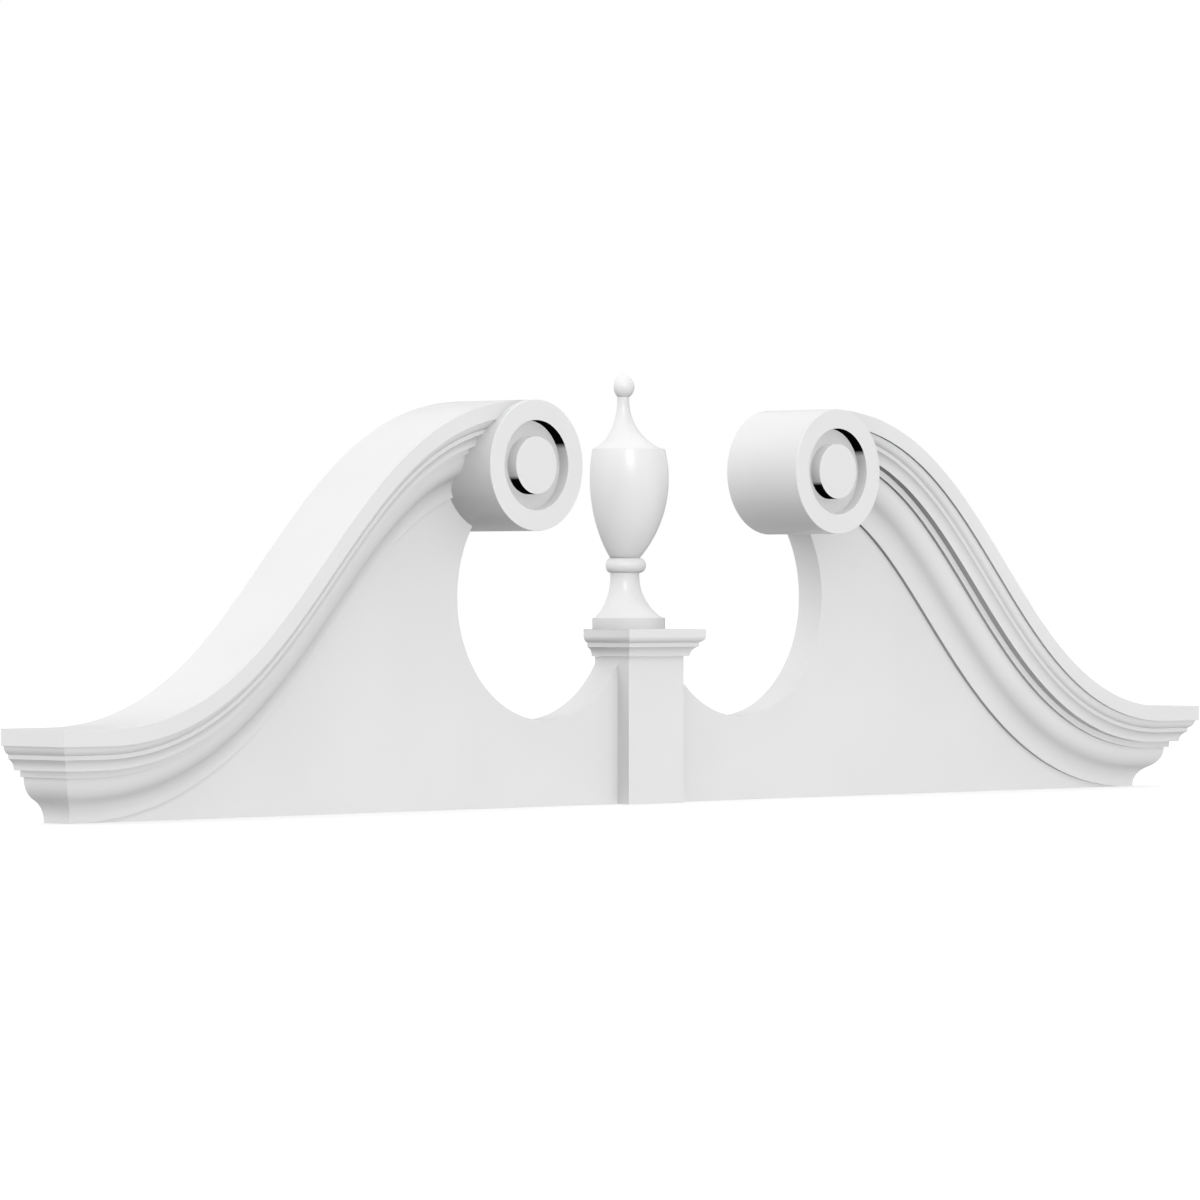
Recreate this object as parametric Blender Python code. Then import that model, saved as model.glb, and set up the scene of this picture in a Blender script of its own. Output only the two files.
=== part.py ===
"""Swan's-neck door pediment with scroll drums, a central pedestal and a half-round urn.

Lengths are in metres. Each piece is modelled with the wall plane at Y = 0, its front towards -Y and
its underside at Z = 0. A parent empty then moves the whole to the middle of its depth.
"""

import math

import bmesh
import bpy
from mathutils import Vector

# Overall sizes and the glue line between touching pieces
OVERALL_WIDTH = 1.829
GLUE_LINE = 0.0003

# Backboard
BOARD_THICKNESS = 0.0357
BOARD_SHOULDER_HEIGHT = 0.1565

# Scroll drums
SCROLL_CENTRE_X = 0.2449
SCROLL_CENTRE_Z = 0.375
SCROLL_RADIUS = 0.0714
SCROLL_PROUD_OF_FASCIA = 0.0091
SCROLL_RIM_WIDTH = 0.0223
SCROLL_RECESS_WIDTH = 0.0177
SCROLL_RECESS_DEPTH = 0.0139
NOTCH_START_ANGLE = math.radians(-67.2)

# The S curve that the rake mouldings follow, level at both ends
RAKE_UPPER_SWEEP = 0.287
RAKE_LOWER_SWEEP = 0.284
RAKE_START_PAST_SCROLL = 0.012

# Crown moulding, from its top down
FASCIA_HEIGHT = 0.0179
FASCIA_SOFFIT = 0.0036
OVOLO_HEIGHT = 0.009
OVOLO_DEPTH = 0.0063
UPPER_FILLET_HEIGHT = 0.0046
COVE_HEIGHT = 0.0107
COVE_DEPTH = 0.0074
COVE_FOOT_HEIGHT = 0.001
LOWER_SOFFIT = 0.0086
LOWER_FILLET_HEIGHT = 0.0072
CYMA_STEP = 0.0046
CYMA_HEAD_HEIGHT = 0.0016
CYMA_HEIGHT = 0.0444
CYMA_DEPTH = 0.0272
BOTTOM_EDGE_HEIGHT = 0.0016
BOTTOM_EDGE_PROUD_OF_BOARD = 0.0048

# Pedestal block and its cap, the cap from its underside up
PEDESTAL_WIDTH = 0.089
PEDESTAL_THICKNESS = 0.0178
PEDESTAL_HEIGHT = 0.1651
CAP_FOOT_PROUD = 0.0048
CAP_COVE_HEIGHT = 0.0104
CAP_COVE_DEPTH = 0.0063
CAP_COVE_STEP = 0.001
CAP_FILLET_HEIGHT = 0.0051
CAP_OVOLO_STEP = 0.0003
CAP_OVOLO_HEIGHT = 0.0074
CAP_OVOLO_DEPTH = 0.0057
CAP_EDGE_HEIGHT = 0.0076

# Urn, from its foot up
URN_BASE_RADIUS = 0.0485
URN_BASE_HEIGHT = 0.0127
URN_FOOT_LIP = 0.0025
URN_STEM_RADIUS = 0.0193
URN_FOOT_HEIGHT = 0.0465
URN_STEM_HEIGHT = 0.004
URN_BEAD_PROUD = 0.0076
URN_BEAD_HEIGHT = 0.0168
URN_BOWL_FOOT_RADIUS = 0.0197
URN_BOWL_RADIUS = 0.0525
URN_BOWL_HEIGHT = 0.0889
URN_RIM_RADIUS = 0.0481
URN_RIM_RISE = 0.0338
URN_RIM_LIP = 0.0026
URN_NECK_RADIUS = 0.0079
URN_SHOULDER_HEIGHT = 0.0551
URN_NECK_HEIGHT = 0.0036
URN_BALL_RADIUS = 0.0139

# Facets, and how finely meshes are merged and cut
RAKE_STEPS = 32
PROFILE_ARC_STEPS = 4
CYMA_ARC_STEPS = 5
BOARD_ARC_STEPS = 28
SCROLL_SIDES = 60
URN_HALF_SIDES = 24
URN_ARC_STEPS = 8
SMOOTH_BELOW = math.radians(32)
MERGE_DISTANCE = 1e-6
CUTTER_OVERRUN = 0.05
CURVE_HALVINGS = 40

# Finish
WHITE = (0.84, 0.84, 0.83, 1.0)
SATIN_ROUGHNESS = 0.45


def moved(line, across, along):
    """The point that lies this far from the last point of a line."""
    return line[-1][0] + across, line[-1][1] + along


def arc_upright_at_end(start, end, steps):
    """Points after start along the arc that meets end running parallel to the second axis."""
    across = start[0] - end[0]
    along = start[1] - end[1]
    side = math.copysign(1.0, across)
    radius = (across**2 + along**2) / (2 * abs(across))
    opening = math.atan2(abs(along), radius - abs(across))
    points = []
    for step in range(1, steps + 1):
        angle = opening * (1 - step / steps)
        bulge = side * radius * (1 - math.cos(angle))
        rise = math.copysign(radius * math.sin(angle), along)
        points.append((end[0] + bulge, end[1] + rise))
    return points


def arc_upright_at_start(start, end, steps):
    """Points after start along the arc that leaves start running parallel to the second axis."""
    backwards = arc_upright_at_end(end, start, steps)
    return backwards[-2::-1] + [end]


def moulding_front():
    """The crown moulding's face as (inset from the fascia, drop from the top) pairs."""
    line = [(0.0, 0.0), (0.0, FASCIA_HEIGHT)]
    line.append(moved(line, FASCIA_SOFFIT, 0))
    line += arc_upright_at_start(line[-1], moved(line, OVOLO_DEPTH, OVOLO_HEIGHT), PROFILE_ARC_STEPS)
    line.append(moved(line, 0, UPPER_FILLET_HEIGHT))
    line += arc_upright_at_end(line[-1], moved(line, COVE_DEPTH, COVE_HEIGHT), PROFILE_ARC_STEPS)
    line.append(moved(line, 0, COVE_FOOT_HEIGHT))
    line.append(moved(line, LOWER_SOFFIT, 0))
    line.append(moved(line, 0, LOWER_FILLET_HEIGHT))
    line.append(moved(line, CYMA_STEP, 0))
    line.append(moved(line, 0, CYMA_HEAD_HEIGHT))
    half_turn = (CYMA_DEPTH / 2, CYMA_HEIGHT / 2)
    line += arc_upright_at_start(line[-1], moved(line, *half_turn), CYMA_ARC_STEPS)
    line += arc_upright_at_end(line[-1], moved(line, *half_turn), CYMA_ARC_STEPS)
    line.append(moved(line, 0, BOTTOM_EDGE_HEIGHT))
    return line


MOULDING_FACE = moulding_front()
MOULDING_HEIGHT = MOULDING_FACE[-1][1]
MOULDING_DEPTH = MOULDING_FACE[-1][0] + BOTTOM_EDGE_PROUD_OF_BOARD
FASCIA_FRONT = BOARD_THICKNESS + MOULDING_DEPTH
SCROLL_DEPTH = FASCIA_FRONT + SCROLL_PROUD_OF_FASCIA
SCROLL_SEAT_RADIUS = SCROLL_RADIUS + GLUE_LINE
HALF_WIDTH = OVERALL_WIDTH / 2
RETURN_INNER_X = HALF_WIDTH - MOULDING_DEPTH


def rake_point(share):
    """The point (X, Z) and the unit direction of the rake's top edge, from scroll to end."""
    top = SCROLL_CENTRE_Z + SCROLL_RADIUS
    controls = (
        Vector((SCROLL_CENTRE_X, top)),
        Vector((SCROLL_CENTRE_X + RAKE_UPPER_SWEEP, top)),
        Vector((RETURN_INNER_X - RAKE_LOWER_SWEEP, MOULDING_HEIGHT)),
        Vector((RETURN_INNER_X, MOULDING_HEIGHT)),
    )
    rest = 1 - share
    weights = (rest**3, 3 * rest**2 * share, 3 * rest * share**2, share**3)
    point = sum((w * c for w, c in zip(weights, controls)), Vector((0, 0)))
    slopes = (rest**2, 2 * rest * share, share**2)
    legs = [b - a for a, b in zip(controls, controls[1:])]
    direction = sum((w * leg for w, leg in zip(slopes, legs)), Vector((0, 0)))
    return point, direction.normalized()


def rake_start():
    """The share of the S curve at which the moulding leaves the top of the scroll."""
    low, high = 0.0, 1.0
    for _ in range(CURVE_HALVINGS):
        middle = (low + high) / 2
        if rake_point(middle)[0].x < SCROLL_CENTRE_X + RAKE_START_PAST_SCROLL:
            low = middle
        else:
            high = middle
    return high


def rake_shares():
    """Even steps along the S curve from the scroll to the level stretch at the end."""
    start = rake_start()
    return [start + (1 - start) * step / RAKE_STEPS for step in range(RAKE_STEPS + 1)]


def arc_about(centre, radius, start, end, steps):
    """Points of a circle's arc from one angle to another, both ends included."""
    angles = [start + (end - start) * step / steps for step in range(steps + 1)]
    return [(centre[0] + radius * math.cos(a), centre[1] + radius * math.sin(a)) for a in angles]


def board_half_outline():
    """The right half of the board's edge as (X, Z) pairs, from the bottom middle to the top middle."""
    end = RETURN_INNER_X - GLUE_LINE
    rake = [tuple(rake_point(share)[0]) for share in reversed(rake_shares())]
    rake[0] = (end, MOULDING_HEIGHT)
    scroll = (SCROLL_CENTRE_X, SCROLL_CENTRE_Z)
    seat_start = math.acos(RAKE_START_PAST_SCROLL / SCROLL_SEAT_RADIUS)
    seat = arc_about(scroll, SCROLL_SEAT_RADIUS, seat_start, NOTCH_START_ANGLE, BOARD_ARC_STEPS)
    notch_top = Vector(seat[-1])
    shoulder = Vector((PEDESTAL_WIDTH / 2, BOARD_SHOULDER_HEIGHT))
    across = notch_top - shoulder
    tilt = math.atan2(across.y, across.x)
    middle = (notch_top + shoulder) / 2
    notch = arc_about(middle, across.length / 2, tilt, tilt - math.pi, BOARD_ARC_STEPS)
    tongue_top = PEDESTAL_HEIGHT - GLUE_LINE
    tongue = [(PEDESTAL_WIDTH / 2, tongue_top)]
    return [(end, 0.0)] + rake + seat + notch[1:] + tongue


def white_finish(name):
    """Smooth white factory finish of one piece."""
    material = bpy.data.materials.new(name)
    material.use_nodes = True
    shader = material.node_tree.nodes["Principled BSDF"]
    shader.inputs["Base Color"].default_value = WHITE
    shader.inputs["Roughness"].default_value = SATIN_ROUGHNESS
    shader.inputs["Metallic"].default_value = 0.0
    return material


def place(name, mesh, parent):
    """Make a named object from a bmesh, with smooth shading across its shallow angles."""
    bmesh.ops.recalc_face_normals(mesh, faces=mesh.faces)
    data = bpy.data.meshes.new(name)
    mesh.to_mesh(data)
    mesh.free()
    data.shade_smooth()
    data.set_sharp_from_angle(angle=SMOOTH_BELOW)
    data.materials.append(white_finish(name))
    piece = bpy.data.objects.new(name, data)
    bpy.context.scene.collection.objects.link(piece)
    piece.parent = parent
    return piece


def loft(rings):
    """Closed solid through rings of corners, each ring with as many corners as the next."""
    mesh = bmesh.new()
    loops = [[mesh.verts.new(corner) for corner in ring] for ring in rings]
    for near, far in zip(loops, loops[1:]):
        for i in range(len(near)):
            j = (i + 1) % len(near)
            mesh.faces.new((near[i], near[j], far[j], far[i]))
    mesh.faces.new(loops[0])
    mesh.faces.new(loops[-1])
    return mesh


def turned(profile, sides, angle, axis):
    """Solid turned from a profile that starts and ends on the axis, closed flat if half round."""
    mesh = bmesh.new()
    corners = [mesh.verts.new(point) for point in profile]
    edges = [mesh.edges.new(pair) for pair in zip(corners, corners[1:])]
    bmesh.ops.spin(
        mesh,
        geom=corners + edges,
        axis=axis,
        cent=(0, 0, 0),
        angle=angle,
        steps=sides,
        use_merge=angle == math.tau,
    )
    bmesh.ops.remove_doubles(mesh, verts=mesh.verts, dist=MERGE_DISTANCE)
    rim = [edge for edge in mesh.edges if edge.is_boundary]
    if rim:
        bmesh.ops.contextual_create(mesh, geom=rim)
    return mesh


def backboard(parent):
    """One board with both S-curved top edges, the two notches and the tongue behind the pedestal."""
    right = board_half_outline()
    left = [(-x, z) for x, z in reversed(right)]
    outline = right + left
    rings = [[(x, y, z) for x, z in outline] for y in (0.0, -BOARD_THICKNESS)]
    return place("backboard", loft(rings), parent)


def scroll_cutter(name, side, parent):
    """Guide drum that hollows the end of a rake moulding to fit round the scroll."""
    mesh = bmesh.new()
    bmesh.ops.create_cone(
        mesh,
        cap_ends=True,
        segments=SCROLL_SIDES,
        radius1=SCROLL_SEAT_RADIUS,
        radius2=SCROLL_SEAT_RADIUS,
        depth=SCROLL_DEPTH + 2 * CUTTER_OVERRUN,
    )
    cutter = place(name, mesh, parent)
    cutter.location = (side * SCROLL_CENTRE_X, -SCROLL_DEPTH / 2, SCROLL_CENTRE_Z)
    cutter.rotation_euler = (math.pi / 2, 0, 0)
    cutter.hide_render = True
    cutter.display_type = "WIRE"
    return cutter


def rake_moulding(name, side, parent):
    """Crown moulding along the S curve, hollowed round the scroll and mitred at the outer end."""
    back = MOULDING_DEPTH - GLUE_LINE
    section = MOULDING_FACE + [(back, MOULDING_HEIGHT), (back, 0.0)]
    rings = []
    for share in rake_shares():
        point, direction = rake_point(share)
        down = Vector((direction.y, -direction.x))
        edge = [(inset, point + drop * down) for inset, drop in section]
        rings.append([(side * p.x, inset - FASCIA_FRONT, p.y) for inset, p in edge])
    rings.append([(side * HALF_WIDTH, y, z) for _, y, z in rings[-1]])
    mesh = loft(rings)
    cut_mitre(mesh, side, -1)
    piece = place(name, mesh, parent)
    cut = piece.modifiers.new("scroll seat", "BOOLEAN")
    cut.operation = "DIFFERENCE"
    cut.solver = "EXACT"
    cut.object = scroll_cutter(name + "_guide", side, parent)
    return piece


def cut_mitre(mesh, side, keep):
    """Cut a moulding on the 45 degree mitre: keep -1 leaves the front run, +1 the return."""
    corner = Vector((side * HALF_WIDTH, -FASCIA_FRONT, 0))
    outward = Vector((side, 1, 0)).normalized() * -keep
    everything = mesh.verts[:] + mesh.edges[:] + mesh.faces[:]
    made = bmesh.ops.bisect_plane(
        mesh,
        geom=everything,
        dist=MERGE_DISTANCE,
        plane_co=corner - outward * GLUE_LINE / 2,
        plane_no=outward,
        clear_outer=True,
    )
    edges = [item for item in made["geom_cut"] if isinstance(item, bmesh.types.BMEdge)]
    bmesh.ops.contextual_create(mesh, geom=edges)


def end_return(name, side, parent):
    """The same moulding run back from the mitre to the wall, covering the board's end."""
    section = MOULDING_FACE + [(MOULDING_DEPTH, MOULDING_HEIGHT), (MOULDING_DEPTH, 0.0)]
    rings = []
    for y in (-FASCIA_FRONT, 0.0):
        rings.append([(side * (HALF_WIDTH - inset), y, MOULDING_HEIGHT - drop) for inset, drop in section])
    mesh = loft(rings)
    cut_mitre(mesh, side, 1)
    return place(name, mesh, parent)


def scroll(name, side, parent):
    """Turned drum with a round recess in its face and a button left standing in the recess."""
    recess = SCROLL_RADIUS - SCROLL_RIM_WIDTH
    button = recess - SCROLL_RECESS_WIDTH
    floor = SCROLL_DEPTH - SCROLL_RECESS_DEPTH
    profile = [
        (0, 0, 0),
        (SCROLL_RADIUS, 0, 0),
        (SCROLL_RADIUS, -SCROLL_DEPTH, 0),
        (recess, -SCROLL_DEPTH, 0),
        (recess, -floor, 0),
        (button, -floor, 0),
        (button, -SCROLL_DEPTH, 0),
        (0, -SCROLL_DEPTH, 0),
    ]
    piece = place(name, turned(profile, SCROLL_SIDES, math.tau, (0, 1, 0)), parent)
    piece.location = (side * SCROLL_CENTRE_X, 0, SCROLL_CENTRE_Z)
    return piece


def pedestal(parent):
    """Plain block planted on the middle of the board."""
    half = PEDESTAL_WIDTH / 2
    back = -BOARD_THICKNESS - GLUE_LINE
    front = -BOARD_THICKNESS - PEDESTAL_THICKNESS
    plan = ((-half, back), (-half, front), (half, front), (half, back))
    rings = [[(x, y, z) for x, y in plan] for z in (0.0, PEDESTAL_HEIGHT - GLUE_LINE)]
    return place("pedestal", loft(rings), parent)


def cap_face():
    """The cap's moulded edge as (projection past the block, height above its underside) pairs."""
    line = [(CAP_FOOT_PROUD, 0.0)]
    line += arc_upright_at_start(line[-1], moved(line, CAP_COVE_DEPTH, CAP_COVE_HEIGHT), PROFILE_ARC_STEPS)
    line.append(moved(line, CAP_COVE_STEP, 0))
    line.append(moved(line, 0, CAP_FILLET_HEIGHT))
    line.append(moved(line, CAP_OVOLO_STEP, 0))
    line += arc_upright_at_end(line[-1], moved(line, CAP_OVOLO_DEPTH, CAP_OVOLO_HEIGHT), PROFILE_ARC_STEPS)
    line.append(moved(line, 0, CAP_EDGE_HEIGHT))
    return line


CAP_HEIGHT = cap_face()[-1][1]


def pedestal_cap(parent):
    """Cap moulded on its front and both sides, flat at the wall."""
    rings = []
    for projection, height in cap_face():
        half = PEDESTAL_WIDTH / 2 + projection
        front = -BOARD_THICKNESS - PEDESTAL_THICKNESS - projection
        rings.append([(-half, 0, height), (-half, front, height), (half, front, height), (half, 0, height)])
    piece = place("pedestal_cap", loft(rings), parent)
    piece.location.z = PEDESTAL_HEIGHT
    return piece


def urn_profile():
    """The urn's outline as (radius, height) pairs from the middle of its base to the top of its ball."""
    line = [(0.0, 0.0), (URN_BASE_RADIUS, 0.0), (URN_BASE_RADIUS, URN_BASE_HEIGHT)]
    line.append(moved(line, -URN_FOOT_LIP, 0))
    stem_foot = (URN_STEM_RADIUS, URN_BASE_HEIGHT + URN_FOOT_HEIGHT)
    line += arc_upright_at_end(line[-1], stem_foot, URN_ARC_STEPS)
    line.append(moved(line, 0, URN_STEM_HEIGHT))
    bead_foot = line[-1][1]
    for step in range(1, URN_ARC_STEPS):
        angle = math.pi * step / URN_ARC_STEPS
        radius = URN_STEM_RADIUS + URN_BEAD_PROUD * math.sin(angle)
        line.append((radius, bead_foot + URN_BEAD_HEIGHT * (1 - math.cos(angle)) / 2))
    line.append((URN_BOWL_FOOT_RADIUS, bead_foot + URN_BEAD_HEIGHT))
    widest = (URN_BOWL_RADIUS, line[-1][1] + URN_BOWL_HEIGHT)
    line += arc_upright_at_end(line[-1], widest, URN_ARC_STEPS)
    rim = (URN_RIM_RADIUS, widest[1] + URN_RIM_RISE)
    line += arc_upright_at_start(line[-1], rim, PROFILE_ARC_STEPS)
    line.append(moved(line, -URN_RIM_LIP, 0))
    neck = (URN_NECK_RADIUS, rim[1] + URN_SHOULDER_HEIGHT)
    line += arc_upright_at_end(line[-1], neck, URN_ARC_STEPS)
    line.append(moved(line, 0, URN_NECK_HEIGHT))
    below = math.asin(URN_NECK_RADIUS / URN_BALL_RADIUS)
    centre = (0.0, line[-1][1] + URN_BALL_RADIUS * math.cos(below))
    ball = arc_about(centre, URN_BALL_RADIUS, below - math.pi / 2, math.pi / 2, URN_ARC_STEPS)
    return line + ball[1:-1] + [(0.0, centre[1] + URN_BALL_RADIUS)]


def urn(parent):
    """Half of a turned urn, standing on the cap with its flat side to the wall."""
    profile = [(radius, 0, height) for radius, height in urn_profile()]
    piece = place("urn", turned(profile, URN_HALF_SIDES, -math.pi, (0, 0, 1)), parent)
    piece.location.z = PEDESTAL_HEIGHT + CAP_HEIGHT + GLUE_LINE
    return piece


def clear_scene():
    """Remove what the scene starts with."""
    for item in list(bpy.data.objects):
        bpy.data.objects.remove(item)


def main():
    """Build every piece under one empty at the middle of the pediment's depth."""
    clear_scene()
    middle = bpy.data.objects.new("pediment", None)
    bpy.context.scene.collection.objects.link(middle)
    middle.location.y = SCROLL_DEPTH / 2
    backboard(middle)
    for name, side in (("left", -1), ("right", 1)):
        rake_moulding("rake_moulding_" + name, side, middle)
        end_return("end_return_" + name, side, middle)
        scroll("scroll_" + name, side, middle)
    pedestal(middle)
    pedestal_cap(middle)
    urn(middle)


main()
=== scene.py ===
import math

import bmesh
import bpy
from mathutils import Matrix, Vector


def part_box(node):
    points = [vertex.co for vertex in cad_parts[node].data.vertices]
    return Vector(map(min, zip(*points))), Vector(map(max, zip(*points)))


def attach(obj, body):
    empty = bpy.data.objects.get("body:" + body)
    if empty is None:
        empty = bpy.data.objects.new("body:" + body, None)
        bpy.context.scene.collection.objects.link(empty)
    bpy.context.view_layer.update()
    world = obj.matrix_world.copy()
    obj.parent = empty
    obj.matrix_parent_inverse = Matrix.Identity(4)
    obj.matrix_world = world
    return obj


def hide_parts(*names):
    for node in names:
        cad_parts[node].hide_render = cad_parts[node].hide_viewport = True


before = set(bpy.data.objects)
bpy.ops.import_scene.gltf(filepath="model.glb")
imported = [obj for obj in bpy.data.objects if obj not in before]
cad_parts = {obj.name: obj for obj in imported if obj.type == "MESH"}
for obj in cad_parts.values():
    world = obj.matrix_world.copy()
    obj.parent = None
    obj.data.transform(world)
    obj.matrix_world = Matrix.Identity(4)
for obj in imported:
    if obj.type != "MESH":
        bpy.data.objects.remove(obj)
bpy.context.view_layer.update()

scene = bpy.context.scene
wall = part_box("backboard")[1].y


# The studio: a plain white floor, and a soft dome of light that is brightest overhead and brighter on
# the left than on the right. Four even lamps model the forms and cast no shadow, and a small lamp
# gives the highlights. The camera stands level with the pediment and to its left.
FLOOR_RADIUS = 80.0
FLOOR_SIDES = 64
FLOOR_TONE = (0.5, 0.5, 0.5, 1.0)
FLOOR_GLOW = 1.16
DOME_LEVEL = 0.312
DOME_OVERHEAD = 0.52
DOME_LEFT = 0.29
LAMPS = (
    {"name": "key", "azimuth": -33.8, "elevation": 20.1, "breadth": 2.0, "strength": 1.32},
    {"name": "left fill", "azimuth": -68.5, "elevation": 42.1, "breadth": 2.0, "strength": 0.39},
    {"name": "low fill", "azimuth": 43.7, "elevation": -47.2, "breadth": 2.0, "strength": 0.74},
    {"name": "right fill", "azimuth": 101.8, "elevation": 40.1, "breadth": 2.0, "strength": 0.97},
)
GLINT = {"name": "glint", "azimuth": -25.0, "elevation": 21.0, "breadth": 4.0, "strength": 0.95}
CAMERA_AZIMUTH = -45.854
CAMERA_ELEVATION = 0.083
CAMERA_DISTANCE = 6.9238
CAMERA_TARGET = (-0.03594, 0.22822)
CAMERA_LENS = 184.93
CAMERA_REACH = 4 * FLOOR_RADIUS


def direction(azimuth, elevation):
    """From the pediment towards a light or the camera, with azimuth 0 straight in front of it."""
    a, e = math.radians(azimuth), math.radians(elevation)
    return Vector((math.sin(a) * math.cos(e), -math.cos(a) * math.cos(e), math.sin(e)))


def lay_floor():
    material = bpy.data.materials.new("studio floor")
    material.use_nodes = True
    shader = material.node_tree.nodes["Principled BSDF"]
    shader.inputs["Base Color"].default_value = FLOOR_TONE
    shader.inputs["Roughness"].default_value = 1.0
    shader.inputs["Specular IOR Level"].default_value = 0.0
    shader.inputs["Emission Color"].default_value = FLOOR_TONE
    shader.inputs["Emission Strength"].default_value = FLOOR_GLOW
    bm = bmesh.new()
    bmesh.ops.create_circle(bm, cap_ends=True, segments=FLOOR_SIDES, radius=FLOOR_RADIUS)
    mesh = bpy.data.meshes.new("studio_floor")
    bm.to_mesh(mesh)
    bm.free()
    mesh.materials.append(material)
    floor = bpy.data.objects.new("studio_floor", mesh)
    scene.collection.objects.link(floor)
    floor.visible_diffuse = False
    floor.visible_glossy = False
    floor.visible_shadow = False


def raise_dome():
    """Light the room from all round, with a plain white backdrop behind it."""
    world = bpy.data.worlds.new("studio")
    scene.world = world
    world.use_nodes = True
    nodes, links = world.node_tree.nodes, world.node_tree.links
    dome = nodes["Background"]
    light = None
    for towards, strength in (((0, 0, 1), DOME_OVERHEAD), ((-1, 0, 0), DOME_LEFT)):
        facing = nodes.new("ShaderNodeVectorMath")
        facing.operation = "DOT_PRODUCT"
        facing.inputs[1].default_value = towards
        links.new(nodes.new("ShaderNodeTexCoord").outputs["Generated"], facing.inputs[0])
        ahead = nodes.new("ShaderNodeMath")
        ahead.operation = "MAXIMUM"
        ahead.inputs[1].default_value = 0.0
        links.new(facing.outputs["Value"], ahead.inputs[0])
        total = nodes.new("ShaderNodeMath")
        total.operation = "MULTIPLY_ADD"
        total.inputs[1].default_value = strength
        total.inputs[2].default_value = DOME_LEVEL
        links.new(ahead.outputs[0], total.inputs[0])
        if light:
            links.new(light, total.inputs[2])
        light = total.outputs[0]
    links.new(light, dome.inputs["Strength"])
    dome.inputs["Color"].default_value = (1.0, 1.0, 1.0, 1.0)
    backdrop = nodes.new("ShaderNodeBackground")
    backdrop.inputs["Color"].default_value = (1.0, 1.0, 1.0, 1.0)
    seen = nodes.new("ShaderNodeMixShader")
    links.new(nodes.new("ShaderNodeLightPath").outputs["Is Camera Ray"], seen.inputs[0])
    links.new(dome.outputs[0], seen.inputs[1])
    links.new(backdrop.outputs[0], seen.inputs[2])
    links.new(seen.outputs[0], nodes["World Output"].inputs["Surface"])


def hang_light(name, azimuth, elevation, breadth, strength):
    lamp = bpy.data.lights.new(name, "SUN")
    lamp.energy = strength
    lamp.angle = math.radians(breadth)
    lamp.use_shadow = False
    light = bpy.data.objects.new(name, lamp)
    light.rotation_euler = direction(azimuth, elevation).to_track_quat("Z", "Y").to_euler()
    scene.collection.objects.link(light)
    return light


def stand_camera():
    lens = bpy.data.cameras.new("camera")
    lens.lens = CAMERA_LENS
    lens.clip_end = CAMERA_REACH
    camera = bpy.data.objects.new("camera", lens)
    target = Vector((CAMERA_TARGET[0], wall, CAMERA_TARGET[1]))
    camera.location = target + direction(CAMERA_AZIMUTH, CAMERA_ELEVATION) * CAMERA_DISTANCE
    camera.rotation_euler = (math.radians(90 - CAMERA_ELEVATION), 0, math.radians(CAMERA_AZIMUTH))
    scene.collection.objects.link(camera)
    scene.camera = camera


lay_floor()
raise_dome()
for lamp in LAMPS:
    hang_light(**lamp).visible_glossy = False
hang_light(**GLINT).visible_diffuse = False
stand_camera()
scene.view_settings.view_transform = "Standard"
scene.cycles.diffuse_bounces = 0


# Backboard: one flat sheet of white cellular PVC, 36 mm thick, sawn and routed to the two S curves,
# the half-round notches and the tongue behind the pedestal. The mouldings cover its upper edge, and
# its open arrises are eased with a sanding block.
BOARD_THICKNESS = 0.0357
BOARD_SHOULDER_HEIGHT = 0.1565
TONGUE_HEIGHT = 0.1648
BOARD_EASE = 0.0003
BOARD_EASE_STEPS = 2
PEDESTAL_WIDTH = 0.089
DRUM_X = 0.2449
DRUM_Z = 0.375
DRUM_RADIUS = 0.0714
NOTCH_ANGLE = math.radians(-67.2)
NOTCH_STEPS = 96
NOTCH_ABOVE = BOARD_SHOULDER_HEIGHT / 3
NOTCH_WITHIN = DRUM_X + DRUM_RADIUS / 2
RETURN_INNER_X = 0.852
MOULDING_HEIGHT = 0.098
RAKE_UPPER_SWEEP = 0.287
RAKE_LOWER_SWEEP = 0.284
FEATHER_X = 0.004
RAKE_STEPS = 180
FLAT_WITHIN = math.radians(35)
PVC_WHITE = (0.86, 0.86, 0.86, 1.0)
PVC_SHADE = (0.83, 0.83, 0.83, 1.0)
# The near-black colour of the painted deep shade in soffits and recesses.
DEEP_SHADE = (0.004, 0.004, 0.004, 1.0)
SATIN = (0.29, 0.37)
FULL_GLOSS = 0.5
PATTERN_RANGE = (0.3, 0.7)
CLOUDS = {"scale": 6.0, "detail": 3.0}
SHEEN = {"scale": 40.0, "detail": 2.0}
GRAIN = {"scale": 800.0, "detail": 1.0}
GRAIN_DEPTH = 0.000016
MARKS = {"scale": 1.0, "detail": 2.0}
PORE_SCALE = 700.0
PORE_SIZE = 0.25
PORE_DEPTH = 0.000012
ROLLING_MARKS = (2.0, 2.0, 350.0)
ROLLING_DEPTH = 0.00001
MERGE = 1e-6
RAKE_HANDLES = (
    Vector((DRUM_X, DRUM_Z + DRUM_RADIUS)),
    Vector((DRUM_X + RAKE_UPPER_SWEEP, DRUM_Z + DRUM_RADIUS)),
    Vector((RETURN_INNER_X - RAKE_LOWER_SWEEP, MOULDING_HEIGHT)),
    Vector((RETURN_INNER_X, MOULDING_HEIGHT)),
)


def rake_point(share):
    """A point of the S curve on the right side, and the curve's direction there."""
    line = list(RAKE_HANDLES)
    while len(line) > 2:
        line = [a.lerp(b, share) for a, b in zip(line, line[1:])]
    return line[0].lerp(line[1], share), (line[1] - line[0]).normalized()


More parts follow.
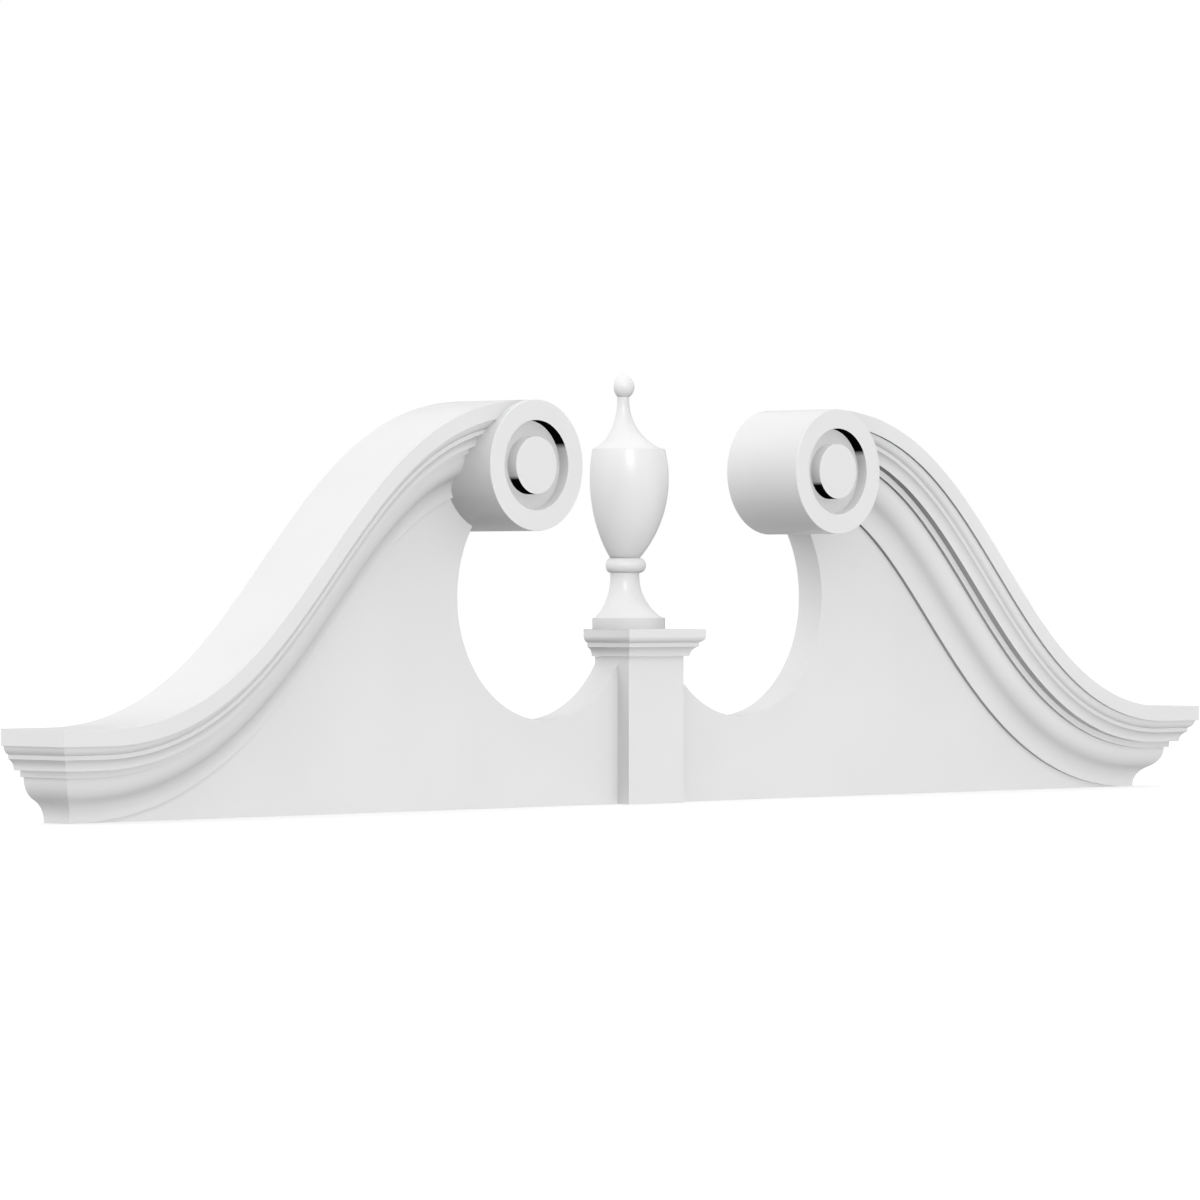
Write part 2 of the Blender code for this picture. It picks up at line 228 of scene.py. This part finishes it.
def rake_shares():
    """Even steps along the S curve, from where it runs out on the top of the drum to its foot."""
    low, high = 0.0, 1.0
    while high - low > MERGE:
        middle = (low + high) / 2
        if rake_point(middle)[0].x < DRUM_X + FEATHER_X:
            low = middle
        else:
            high = middle
    return [high + (1 - high) * step / RAKE_STEPS for step in range(RAKE_STEPS + 1)]


def line_to(bm, last, across, up):
    """Carry a drawn line on by a straight stretch, seen from the front."""
    corner = bmesh.ops.extrude_vert_indiv(bm, verts=[last])["verts"][0]
    corner.co += Vector((across, 0, up))
    return corner


def arc_to(bm, last, centre, angle, steps):
    """Carry a drawn line on by an arc, anticlockwise for a positive angle, seen from the front."""
    made = bmesh.ops.spin(bm, geom=[last], cent=centre, axis=(0, -1, 0), angle=angle, steps=steps)
    return next(item for item in made["geom_last"] if isinstance(item, bmesh.types.BMVert))


def board_blank():
    """The whole board as one closed solid, drawn from the foot of its right end."""
    bm = bmesh.new()
    first = bm.verts.new((RETURN_INNER_X, wall, 0))
    last = first
    for share in reversed(rake_shares()):
        point = rake_point(share)[0]
        last = line_to(bm, last, point.x - last.co.x, point.y - last.co.z)
    centre = Vector((DRUM_X, wall, DRUM_Z))
    top = math.acos(FEATHER_X / DRUM_RADIUS)
    last = line_to(bm, last, 0, DRUM_Z + DRUM_RADIUS * math.sin(top) - last.co.z)
    last = arc_to(bm, last, centre, NOTCH_ANGLE - top, NOTCH_STEPS)
    shoulder = Vector((PEDESTAL_WIDTH / 2, wall, BOARD_SHOULDER_HEIGHT))
    last = arc_to(bm, last, (last.co + shoulder) / 2, -math.pi, NOTCH_STEPS)
    last = line_to(bm, last, 0, TONGUE_HEIGHT - last.co.z)
    last = line_to(bm, last, -last.co.x, 0)
    last = line_to(bm, last, 0, -TONGUE_HEIGHT)
    bmesh.ops.contextual_create(bm, geom=[last, first])
    bmesh.ops.mirror(bm, geom=bm.verts[:] + bm.edges[:], axis="X", merge_dist=MERGE)
    middle = [e for e in bm.edges if max(abs(v.co.x) for v in e.verts) < MERGE]
    bmesh.ops.delete(bm, geom=middle, context="EDGES")
    bmesh.ops.contextual_create(bm, geom=bm.edges[:])
    made = bmesh.ops.extrude_face_region(bm, geom=bm.faces[:])
    front = [item for item in made["geom"] if isinstance(item, bmesh.types.BMVert)]
    bmesh.ops.translate(bm, verts=front, vec=(0, -BOARD_THICKNESS, 0))
    bmesh.ops.recalc_face_normals(bm, faces=bm.faces[:])
    return bm


def board_arrises(bm):
    """The open front edges of the board: the notches and the bottom."""
    found = []
    for edge in bm.edges:
        near = all(v.co.y < wall - BOARD_THICKNESS / 2 for v in edge.verts)
        middle = sum((v.co for v in edge.verts), Vector()) / 2
        side = abs(middle.x)
        beside = PEDESTAL_WIDTH / 2 < side < RETURN_INNER_X - MERGE
        bottom = middle.z < MERGE
        clear_of_drum = math.hypot(side - DRUM_X, middle.z - DRUM_Z) > DRUM_RADIUS + MERGE
        notch = middle.z > NOTCH_ABOVE and side < NOTCH_WITHIN and clear_of_drum
        if near and beside and (bottom or notch):
            found.append(edge)
    return found


def ease(bm, geom, width, steps, affect="EDGES"):
    """Round off the given edges or corners."""
    bmesh.ops.bevel(
        bm, geom=geom, offset=width, offset_type="OFFSET", affect=affect,
        segments=steps, profile=0.5, material=-1, clamp_overlap=True,
    )


def white_pvc(name, marks, mark_depth, run_map=None, shade=None):
    """Satin white PVC with tool or rolling marks.

    marks is how close the marks lie along each axis, and run_map the map they follow, if any. shade
    gives how far down a face marked for shade must point for the painted deep shade, near black, to
    begin and to be full.
    """
    material = bpy.data.materials.new(name)
    material.use_nodes = True
    nodes, links = material.node_tree.nodes, material.node_tree.links
    shader = nodes["Principled BSDF"]
    place = nodes.new("ShaderNodeTexCoord").outputs["Object"]

    def pattern(where, scale, detail):
        noise = nodes.new("ShaderNodeTexNoise")
        noise.inputs["Scale"].default_value = scale
        noise.inputs["Detail"].default_value = detail
        links.new(where, noise.inputs["Vector"])
        return noise.outputs["Fac"]

    def spread(value, low, high):
        spread_to = nodes.new("ShaderNodeMapRange")
        spread_to.inputs["From Min"].default_value = PATTERN_RANGE[0]
        spread_to.inputs["From Max"].default_value = PATTERN_RANGE[1]
        spread_to.inputs["To Min"].default_value = low
        spread_to.inputs["To Max"].default_value = high
        links.new(value, spread_to.inputs["Value"])
        return spread_to.outputs["Result"]

    def relief(height, distance, under=None):
        bump = nodes.new("ShaderNodeBump")
        bump.inputs["Distance"].default_value = distance
        links.new(height, bump.inputs["Height"])
        if under:
            links.new(under, bump.inputs["Normal"])
        return bump.outputs["Normal"]

    tone = nodes.new("ShaderNodeMix")
    tone.data_type = "RGBA"
    tone.inputs["A"].default_value = PVC_SHADE
    tone.inputs["B"].default_value = PVC_WHITE
    links.new(spread(pattern(place, **CLOUDS), 0.0, 1.0), tone.inputs["Factor"])
    links.new(tone.outputs["Result"], shader.inputs["Base Color"])
    # Painted deep shade: faces marked for it whose normals point far enough down are mixed towards near black
    # and lose their gloss, standing in for the shade in soffits and recesses.
    if shade:
        facing = nodes.new("ShaderNodeVectorMath")
        facing.operation = "DOT_PRODUCT"
        facing.inputs[1].default_value = (0, 0, -1)
        links.new(nodes.new("ShaderNodeTexCoord").outputs["Normal"], facing.inputs[0])
        under = nodes.new("ShaderNodeMapRange")
        under.inputs["From Min"].default_value = shade[0]
        under.inputs["From Max"].default_value = shade[1]
        links.new(facing.outputs["Value"], under.inputs["Value"])
        painted_shade_weight = nodes.new("ShaderNodeAttribute")
        painted_shade_weight.attribute_name = "painted_shade_weight"
        depth = nodes.new("ShaderNodeMath")
        depth.operation = "MULTIPLY"
        links.new(under.outputs["Result"], depth.inputs[0])
        links.new(painted_shade_weight.outputs["Fac"], depth.inputs[1])
        deep = nodes.new("ShaderNodeMix")
        deep.data_type = "RGBA"
        deep.inputs["B"].default_value = DEEP_SHADE
        links.new(depth.outputs[0], deep.inputs["Factor"])
        links.new(tone.outputs["Result"], deep.inputs["A"])
        links.new(deep.outputs["Result"], shader.inputs["Base Color"])
        gloss_under_painted_shade = nodes.new("ShaderNodeMapRange")
        gloss_under_painted_shade.inputs["To Min"].default_value = FULL_GLOSS
        gloss_under_painted_shade.inputs["To Max"].default_value = 0.0
        links.new(depth.outputs[0], gloss_under_painted_shade.inputs["Value"])
        links.new(gloss_under_painted_shade.outputs["Result"], shader.inputs["Specular IOR Level"])
    links.new(spread(pattern(place, **SHEEN), *SATIN), shader.inputs["Roughness"])
    grain = relief(pattern(place, **GRAIN), GRAIN_DEPTH)
    stretch = nodes.new("ShaderNodeMapping")
    stretch.inputs["Scale"].default_value = marks
    if run_map:
        run = nodes.new("ShaderNodeUVMap")
        run.uv_map = run_map
        links.new(run.outputs["UV"], stretch.inputs["Vector"])
    else:
        links.new(place, stretch.inputs["Vector"])
    lines = relief(pattern(stretch.outputs["Vector"], **MARKS), mark_depth, grain)
    cells = nodes.new("ShaderNodeTexVoronoi")
    cells.inputs["Scale"].default_value = PORE_SCALE
    links.new(place, cells.inputs["Vector"])
    pores = nodes.new("ShaderNodeMapRange")
    pores.inputs["From Max"].default_value = PORE_SIZE
    links.new(cells.outputs["Distance"], pores.inputs["Value"])
    links.new(relief(pores.outputs["Result"], PORE_DEPTH, lines), shader.inputs["Normal"])
    return material


def mark_painted_shade(bm, inside):
    """Note on each face how strongly the painted deep shade is laid on it, from 0 to 1."""
    painted_shade_weight = bm.faces.layers.float.new("painted_shade_weight")
    bm.normal_update()
    for face in bm.faces:
        face[painted_shade_weight] = float(inside(face))


def set_in_place(bm, name, material, node):
    """Make the finished piece from its bmesh, in place of its CAD node."""
    bmesh.ops.recalc_face_normals(bm, faces=bm.faces[:])
    mesh = bpy.data.meshes.new(name)
    bm.to_mesh(mesh)
    bm.free()
    mesh.shade_smooth()
    mesh.set_sharp_from_angle(angle=FLAT_WITHIN)
    mesh.materials.append(material)
    piece = bpy.data.objects.new(name, mesh)
    scene.collection.objects.link(piece)
    shading = piece.modifiers.new("even shading", "WEIGHTED_NORMAL")
    shading.keep_sharp = True
    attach(piece, "root")
    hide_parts(node)


board = board_blank()
ease(board, board_arrises(board), BOARD_EASE, BOARD_EASE_STEPS)
sheet = white_pvc("white sheet", ROLLING_MARKS, ROLLING_DEPTH)
set_in_place(board, "board", sheet, "backboard")


# Rake mouldings: a 98 mm crown moulding of solid white PVC, milled in one length along the S curve.
# Each is glued to the board's face with its top flush, hollowed to sit against the scroll drum and
# mitred at the outer corner.
OVERALL_WIDTH = 1.829
MOULDING_DEPTH = 0.0625
FASCIA_FRONT = wall - BOARD_THICKNESS - MOULDING_DEPTH
FASCIA_HEIGHT = 0.0179
FASCIA_SOFFIT = 0.0036
OVOLO = (0.0063, -0.009)
UPPER_FILLET_HEIGHT = 0.0046
COVE = (0.0074, -0.0107)
COVE_FOOT_HEIGHT = 0.001
LOWER_SOFFIT = 0.0086
LOWER_FILLET_HEIGHT = 0.0072
CYMA_STEP = 0.0046
CYMA_HEAD_HEIGHT = 0.0016
CYMA_HALF = (0.0136, -0.0222)
BOTTOM_EDGE_HEIGHT = 0.0016
MOULDING_EASE = 0.0003
EASE_STEPS = 3
SHARP_WITHIN = math.radians(150)
ARC_STEPS = 10
DRUM_SIDES = 192
DRUM_GUIDE_LENGTH = 4 * MOULDING_DEPTH
KNIFE_MARKS = (4.0, 1100.0, 0.0)
KNIFE_DEPTH = 0.000016
SOFFIT_LEAN = 0.3
SOFFIT_SHADE = (0.35, 1.05)


def curve_to(bm, last, across, up, upright, steps):
    """Carry a drawn line on by an arc that runs straight up or down at its start or its end."""
    start = last.co.copy()
    end = start + Vector((across, 0, up))
    radius = (across**2 + up**2) / (2 * abs(across))
    if upright == "start":
        centre = start + Vector((math.copysign(radius, across), 0, 0))
    else:
        centre = end - Vector((math.copysign(radius, across), 0, 0))
    a, b = start - centre, end - centre
    angle = math.atan2(a.x * b.z - a.z * b.x, a.x * b.x + a.z * b.z)
    return arc_to(bm, last, centre, angle, steps)


def ease_corners(bm, width, keep_square):
    """Fill the drawn outline and round its outer corners, apart from those to be kept square."""
    bmesh.ops.contextual_create(bm, geom=bm.edges[:])
    bmesh.ops.recalc_face_normals(bm, faces=bm.faces[:])
    face = next(iter(bm.faces))
    outer = [
        loop.vert for loop in face.loops if loop.is_convex and loop.calc_angle() < SHARP_WITHIN
        and not keep_square(loop.vert.co)
    ]
    ease(bm, outer, width, EASE_STEPS, "VERTICES")


def measure_round(bm):
    """Note on each corner of the outline how far along the outline it lies, for the tool marks."""
    across = bm.verts.layers.float.new("across")
    bm.verts.layers.float.new("along")
    far = 0.0
    for loop in next(iter(bm.faces)).loops:
        loop.vert[across] = far
        far += loop.edge.calc_length()


def lay_run_map(bm):
    """Lay the map that the tool marks follow: along the run, and across the outline."""
    across = bm.verts.layers.float["across"]
    along = bm.verts.layers.float["along"]
    run = bm.loops.layers.uv.new("run")
    for face in bm.faces:
        for loop in face.loops:
            loop[run].uv = (loop.vert[along], loop.vert[across])


def moulding_section():
    """The moulding's section, its top front corner at the origin and its back towards +X."""
    bm = bmesh.new()
    first = bm.verts.new((MOULDING_DEPTH, 0, 0))
    last = line_to(bm, first, -MOULDING_DEPTH, 0)
    last = line_to(bm, last, 0, -FASCIA_HEIGHT)
    last = line_to(bm, last, FASCIA_SOFFIT, 0)
    last = curve_to(bm, last, *OVOLO, "start", ARC_STEPS)
    last = line_to(bm, last, 0, -UPPER_FILLET_HEIGHT)
    last = curve_to(bm, last, *COVE, "end", ARC_STEPS)
    last = line_to(bm, last, 0, -COVE_FOOT_HEIGHT)
    last = line_to(bm, last, LOWER_SOFFIT, 0)
    last = line_to(bm, last, 0, -LOWER_FILLET_HEIGHT)
    last = line_to(bm, last, CYMA_STEP, 0)
    last = line_to(bm, last, 0, -CYMA_HEAD_HEIGHT)
    last = curve_to(bm, last, *CYMA_HALF, "start", ARC_STEPS)
    last = curve_to(bm, last, *CYMA_HALF, "end", ARC_STEPS)
    last = line_to(bm, last, 0, -BOTTOM_EDGE_HEIGHT)
    last = line_to(bm, last, MOULDING_DEPTH - last.co.x, 0)
    bmesh.ops.contextual_create(bm, geom=[last, first])
    ease_corners(bm, MOULDING_EASE, lambda corner: corner.x > MOULDING_DEPTH - MERGE)
    measure_round(bm)
    return bm


def run_on(bm, edges, matrix):
    """Draw a section's outline out to its next place, and give the outline there."""
    along = bm.verts.layers.float["along"]
    far = edges[0].verts[0][along]
    was = edges[0].verts[0].co.copy()
    far += (matrix @ was - was).length
    made = bmesh.ops.extrude_edge_only(bm, edges=edges)["geom"]
    corners = [item for item in made if isinstance(item, bmesh.types.BMVert)]
    bmesh.ops.transform(bm, matrix=matrix, verts=corners)
    for corner in corners:
        corner[along] = far
    fresh = set(corners)
    lines = [item for item in made if isinstance(item, bmesh.types.BMEdge)]
    return [edge for edge in lines if fresh.issuperset(edge.verts)]


def rake_place(share):
    """Where the section stands at a share of the S curve: square to it, its top on the curve."""
    point, along = rake_point(share)
    axes = Matrix(((0, 1, 0), (-along.x, 0, -along.y), (-along.y, 0, along.x))).transposed()
    return Matrix.Translation((point.x, FASCIA_FRONT, point.y)) @ axes.to_4x4()


def cut_mitre(bm, keep_front):
    """Cut the right-hand corner at 45 degrees, for the front run or for the return."""
    away = 1 if keep_front else -1
    made = bmesh.ops.bisect_plane(
        bm,
        geom=bm.verts[:] + bm.edges[:] + bm.faces[:],
        dist=MERGE,
        plane_co=(OVERALL_WIDTH / 2, FASCIA_FRONT, 0),
        plane_no=(away, away, 0),
        clear_outer=True,
    )
    cut = [item for item in made["geom_cut"] if isinstance(item, bmesh.types.BMEdge)]
    bmesh.ops.contextual_create(bm, geom=cut)


def mirrored(bm):
    """The left-hand copy of a right-hand piece."""
    left = bm.copy()
    bmesh.ops.scale(left, vec=(-1, 1, 1), verts=left.verts[:])
    bmesh.ops.reverse_faces(left, faces=left.faces[:])
    return left


def hollow_for_drum(bm):
    """Cut the inner end of the right-hand moulding to the drum's round side."""
    block = bpy.data.meshes.new("moulding block")
    bm.to_mesh(block)
    bm.clear()
    piece = bpy.data.objects.new("moulding block", block)
    drum = bmesh.new()
    bmesh.ops.create_cone(
        drum, cap_ends=True, segments=DRUM_SIDES, radius1=DRUM_RADIUS, radius2=DRUM_RADIUS,
        depth=DRUM_GUIDE_LENGTH,
        matrix=Matrix.Translation((DRUM_X, wall, DRUM_Z)) @ Matrix.Rotation(math.pi / 2, 4, "X"),
    )
    guide_mesh = bpy.data.meshes.new("drum guide")
    drum.to_mesh(guide_mesh)
    drum.free()
    guide = bpy.data.objects.new("drum guide", guide_mesh)
    for item in (piece, guide):
        scene.collection.objects.link(item)
    cut = piece.modifiers.new("drum seat", "BOOLEAN")
    cut.operation = "DIFFERENCE"
    cut.solver = "EXACT"
    cut.object = guide
    bm.from_object(piece, bpy.context.evaluated_depsgraph_get())
    for item in (piece, guide):
        bpy.data.objects.remove(item)


def soffit_painted_shade(face):
    """The painted deep shade on a soffit is full beside the drum and fades to none at the foot of the rake.
    """
    soffit = abs(face.normal.y) < SOFFIT_LEAN
    return soffit * (RETURN_INNER_X - face.calc_center_median().x) / (RETURN_INNER_X - DRUM_X)


def rake_moulding():
    bm = moulding_section()
    places = [rake_place(share) for share in rake_shares()]
    bmesh.ops.transform(bm, matrix=places[0], verts=bm.verts[:])
    outline = bm.edges[:]
    for here, there in zip(places, places[1:]):
        outline = run_on(bm, outline, there @ here.inverted())
    outline = run_on(bm, outline, Matrix.Translation((MOULDING_DEPTH, 0, 0)))
    bmesh.ops.contextual_create(bm, geom=outline)
    bmesh.ops.recalc_face_normals(bm, faces=bm.faces[:])
    cut_mitre(bm, True)
    lay_run_map(bm)
    hollow_for_drum(bm)
    mark_painted_shade(bm, soffit_painted_shade)
    return bm


# The moulding's soffits take painted deep shade, darkest beside the drum and fading towards the foot.
milled = white_pvc("white milled moulding", KNIFE_MARKS, KNIFE_DEPTH, "run", SOFFIT_SHADE)
right_rake = rake_moulding()
set_in_place(mirrored(right_rake), "rake_moulding_l", milled, "rake_moulding_left")
set_in_place(right_rake, "rake_moulding_r", milled, "rake_moulding_right")


# End returns: short lengths of the same moulding, mitred to the rakes and run straight back to the
# wall. Glued over the ends of the board.
def end_return():
    bm = moulding_section()
    stand = Matrix.Translation((OVERALL_WIDTH / 2, FASCIA_FRONT, MOULDING_HEIGHT))
    bmesh.ops.transform(bm, matrix=stand @ Matrix.Scale(-1, 4, (1, 0, 0)), verts=bm.verts[:])
    outline = run_on(bm, bm.edges[:], Matrix.Translation((0, wall - FASCIA_FRONT, 0)))
    bmesh.ops.contextual_create(bm, geom=outline)
    bmesh.ops.recalc_face_normals(bm, faces=bm.faces[:])
    cut_mitre(bm, False)
    lay_run_map(bm)
    mark_painted_shade(bm, lambda face: False)
    return bm


right_return = end_return()
set_in_place(mirrored(right_return), "end_return_l", milled, "end_return_left")
set_in_place(right_return, "end_return_r", milled, "end_return_right")


# Scroll drums: each is turned from a glued-up block of white PVC, 143 mm across and 107 mm deep.
# A round recess is turned in its face, which leaves a flush button standing in the middle.
DRUM_DEPTH = 0.1073
DRUM_RIM_WIDTH = 0.0223
DRUM_RECESS_WIDTH = 0.0177
DRUM_RECESS_DEPTH = 0.0139
DRUM_EASE = 0.0005
RECESS_SHADE = (0.38, 0.5)
LATHE_MARKS = (0.0, 1500.0, 0.0)
LATHE_DEPTH = 0.00002


def turned(bm, angle, sides):
    """Turn a drawn outline about its middle axis into a solid."""
    on_axis = [e for e in bm.edges if max(abs(v.co.x) for v in e.verts) < MERGE]
    bmesh.ops.delete(bm, geom=bm.faces[:], context="FACES_ONLY")
    bmesh.ops.delete(bm, geom=on_axis, context="EDGES")
    bmesh.ops.spin(
        bm, geom=bm.verts[:] + bm.edges[:], cent=(0, 0, 0), axis=(0, 0, 1), angle=angle,
        steps=sides, use_merge=angle == math.tau,
    )
    bmesh.ops.remove_doubles(bm, verts=bm.verts[:], dist=MERGE)
    bmesh.ops.recalc_face_normals(bm, faces=bm.faces[:])


def recess_wall(face):
    """Whether a face of the right-hand drum is a wall of its recess, to take the painted deep shade."""
    middle = face.calc_center_median()
    from_axis = math.hypot(middle.x - DRUM_X, middle.z - DRUM_Z)
    return abs(face.normal.y) < SOFFIT_LEAN and from_axis < DRUM_RADIUS - DRUM_RIM_WIDTH / 2


def drum():
    bm = bmesh.new()
    recess = DRUM_RADIUS - DRUM_RIM_WIDTH
    button = recess - DRUM_RECESS_WIDTH
    first = bm.verts.new((0, 0, 0))
    last = line_to(bm, first, DRUM_RADIUS, 0)
    last = line_to(bm, last, 0, DRUM_DEPTH)
    last = line_to(bm, last, -DRUM_RIM_WIDTH, 0)
    last = line_to(bm, last, 0, -DRUM_RECESS_DEPTH)
    last = line_to(bm, last, -DRUM_RECESS_WIDTH, 0)
    last = line_to(bm, last, 0, DRUM_RECESS_DEPTH)
    last = line_to(bm, last, -button, 0)
    bmesh.ops.contextual_create(bm, geom=[last, first])
    ease_corners(bm, DRUM_EASE, lambda corner: corner.z < MERGE or corner.x < MERGE)
    measure_round(bm)
    turned(bm, math.tau, DRUM_SIDES)
    lay_run_map(bm)
    stand = Matrix.Translation((DRUM_X, wall, DRUM_Z)) @ Matrix.Rotation(math.pi / 2, 4, "X")
    bmesh.ops.transform(bm, matrix=stand, verts=bm.verts[:])
    mark_painted_shade(bm, recess_wall)
    return bm


# The recess walls that face down take painted deep shade, near black.
lathed = white_pvc("white lathed face", LATHE_MARKS, LATHE_DEPTH, "run", RECESS_SHADE)
right_drum = drum()
set_in_place(mirrored(right_drum), "drum_l", lathed, "scroll_left")
set_in_place(right_drum, "drum_r", lathed, "scroll_right")


# Pedestal: a plain block of the same sheet, 89 mm wide and 18 mm thick, planted on the middle of the
# board from its bottom edge to the cap.
PEDESTAL_THICKNESS = 0.0178
PEDESTAL_HEIGHT = 0.1651
PEDESTAL_FRONT = wall - BOARD_THICKNESS - PEDESTAL_THICKNESS

pedestal = bmesh.new()
bmesh.ops.create_cube(pedestal, size=1.0)
bmesh.ops.scale(pedestal, vec=(PEDESTAL_WIDTH, PEDESTAL_THICKNESS, PEDESTAL_HEIGHT), verts=pedestal.verts[:])
bmesh.ops.translate(
    pedestal, vec=(0, PEDESTAL_FRONT + PEDESTAL_THICKNESS / 2, PEDESTAL_HEIGHT / 2), verts=pedestal.verts[:]
)
open_edges = [
    edge for edge in pedestal.edges
    if all(v.co.y < PEDESTAL_FRONT + MERGE for v in edge.verts)
    and any(v.co.z < PEDESTAL_HEIGHT - MERGE for v in edge.verts)
]
ease(pedestal, open_edges, BOARD_EASE, EASE_STEPS)
set_in_place(pedestal, "pedestal_block", sheet, "pedestal")


# Pedestal cap: one block of white PVC with a cove, a fillet and an ovolo worked on its front and both
# sides, so its corners are cut in the solid. It reaches back over the tongue of the board to the wall.
CAP_FOOT_PROUD = 0.0048
CAP_COVE = (0.0063, 0.0104)
CAP_COVE_STEP = 0.001
CAP_FILLET_HEIGHT = 0.0051
CAP_OVOLO_STEP = 0.0003
CAP_OVOLO = (0.0057, 0.0074)
CAP_EDGE_HEIGHT = 0.0076
CAP_HEIGHT = 0.0305
CAP_MARK_DEPTH = 0.000014


def cap_profile():
    """The cap's edge as (projection, height) pairs, from its underside to its top."""
    bm = bmesh.new()
    first = bm.verts.new((0, 0, 0))
    last = line_to(bm, first, CAP_FOOT_PROUD, 0)
    last = curve_to(bm, last, *CAP_COVE, "start", ARC_STEPS)
    last = line_to(bm, last, CAP_COVE_STEP, 0)
    last = line_to(bm, last, 0, CAP_FILLET_HEIGHT)
    last = line_to(bm, last, CAP_OVOLO_STEP, 0)
    last = curve_to(bm, last, *CAP_OVOLO, "end", ARC_STEPS)
    last = line_to(bm, last, 0, CAP_EDGE_HEIGHT)
    last = line_to(bm, last, -last.co.x, 0)
    bmesh.ops.contextual_create(bm, geom=[last, first])
    ease_corners(bm, MOULDING_EASE, lambda corner: corner.x < MERGE)
    corners = [loop.vert.co.copy() for loop in next(iter(bm.faces)).loops]
    bm.free()
    start = min(range(len(corners)), key=lambda i: corners[i].length)
    corners = corners[start:] + corners[:start]
    if corners[1].z > corners[-1].z:
        corners = corners[:1] + corners[:0:-1]
    return [(corner.x, corner.z) for corner in corners[1:-1]]


def cap():
    bm = bmesh.new()
    profile = cap_profile()
    half = PEDESTAL_WIDTH / 2 + profile[0][0]
    front = PEDESTAL_FRONT - profile[0][0]
    foot = [
        bm.verts.new((x, y, PEDESTAL_HEIGHT + profile[0][1]))
        for x, y in ((-half, wall), (half, wall), (half, front), (-half, front))
    ]
    top = bmesh.ops.contextual_create(bm, geom=foot)["faces"][0]
    for (proud, height), (next_proud, next_height) in zip(profile, profile[1:]):
        top = bmesh.ops.extrude_face_region(bm, geom=[top])["geom"]
        top = next(item for item in top if isinstance(item, bmesh.types.BMFace))
        out, up = next_proud - proud, next_height - height
        for corner in top.verts:
            at_front = corner.co.y < wall - MERGE
            corner.co += Vector((math.copysign(out, corner.co.x), -out if at_front else 0, up))
    bmesh.ops.recalc_face_normals(bm, faces=bm.faces[:])
    return bm


milled_cap = white_pvc("white milled cap", ROLLING_MARKS, CAP_MARK_DEPTH)
set_in_place(cap(), "cap", milled_cap, "pedestal_cap")


# Urn finial: turned whole from white PVC and then sawn in half, so that its flat back lies in the
# plane of the wall. It stands on the cap and is glued there.
URN_BASE = (0.0485, 0.0127)
URN_FOOT_LIP = 0.0025
URN_FOOT = (-0.0267, 0.0465)
URN_STEM_HEIGHT = 0.004
URN_BEAD_PROUD = 0.0076
URN_BEAD_HEIGHT = 0.0168
URN_COLLAR = 0.0004
URN_BOWL = (0.0328, 0.0889)
URN_RIM = (-0.0044, 0.0338)
URN_RIM_LIP = 0.0026
URN_SHOULDER = (-0.0376, 0.0551)
URN_NECK_HEIGHT = 0.0036
URN_BALL_RADIUS = 0.0139
URN_EASE = 0.0004
URN_ARC_STEPS = 28
URN_SIDES = 96


def urn():
    bm = bmesh.new()
    first = bm.verts.new((0, 0, 0))
    last = line_to(bm, first, URN_BASE[0], 0)
    last = line_to(bm, last, 0, URN_BASE[1])
    last = line_to(bm, last, -URN_FOOT_LIP, 0)
    last = curve_to(bm, last, *URN_FOOT, "end", URN_ARC_STEPS)
    last = line_to(bm, last, 0, URN_STEM_HEIGHT)
    foot = last.co.copy()
    for step in range(1, URN_ARC_STEPS + 1):
        turn = math.pi * step / URN_ARC_STEPS
        bead = foot + Vector((URN_BEAD_PROUD * math.sin(turn), 0, URN_BEAD_HEIGHT * (1 - math.cos(turn)) / 2))
        last = line_to(bm, last, bead.x - last.co.x, bead.z - last.co.z)
    last = line_to(bm, last, URN_COLLAR, 0)
    last = curve_to(bm, last, *URN_BOWL, "end", URN_ARC_STEPS)
    last = curve_to(bm, last, *URN_RIM, "start", URN_ARC_STEPS)
    last = line_to(bm, last, -URN_RIM_LIP, 0)
    last = curve_to(bm, last, *URN_SHOULDER, "end", URN_ARC_STEPS)
    last = line_to(bm, last, 0, URN_NECK_HEIGHT)
    below = math.asin(last.co.x / URN_BALL_RADIUS)
    centre = Vector((0, 0, last.co.z + URN_BALL_RADIUS * math.cos(below)))
    last = arc_to(bm, last, centre, math.pi - below, URN_ARC_STEPS)
    last.co.x = 0
    bmesh.ops.contextual_create(bm, geom=[last, first])
    ease_corners(bm, URN_EASE, lambda corner: corner.x < MERGE or corner.z < MERGE)
    measure_round(bm)
    turned(bm, -math.pi, URN_SIDES)
    lay_run_map(bm)
    mark_painted_shade(bm, lambda face: False)
    bmesh.ops.contextual_create(bm, geom=[edge for edge in bm.edges if edge.is_boundary])
    bmesh.ops.translate(bm, vec=(0, wall, PEDESTAL_HEIGHT + CAP_HEIGHT), verts=bm.verts[:])
    return bm


set_in_place(urn(), "urn_finial", lathed, "urn")
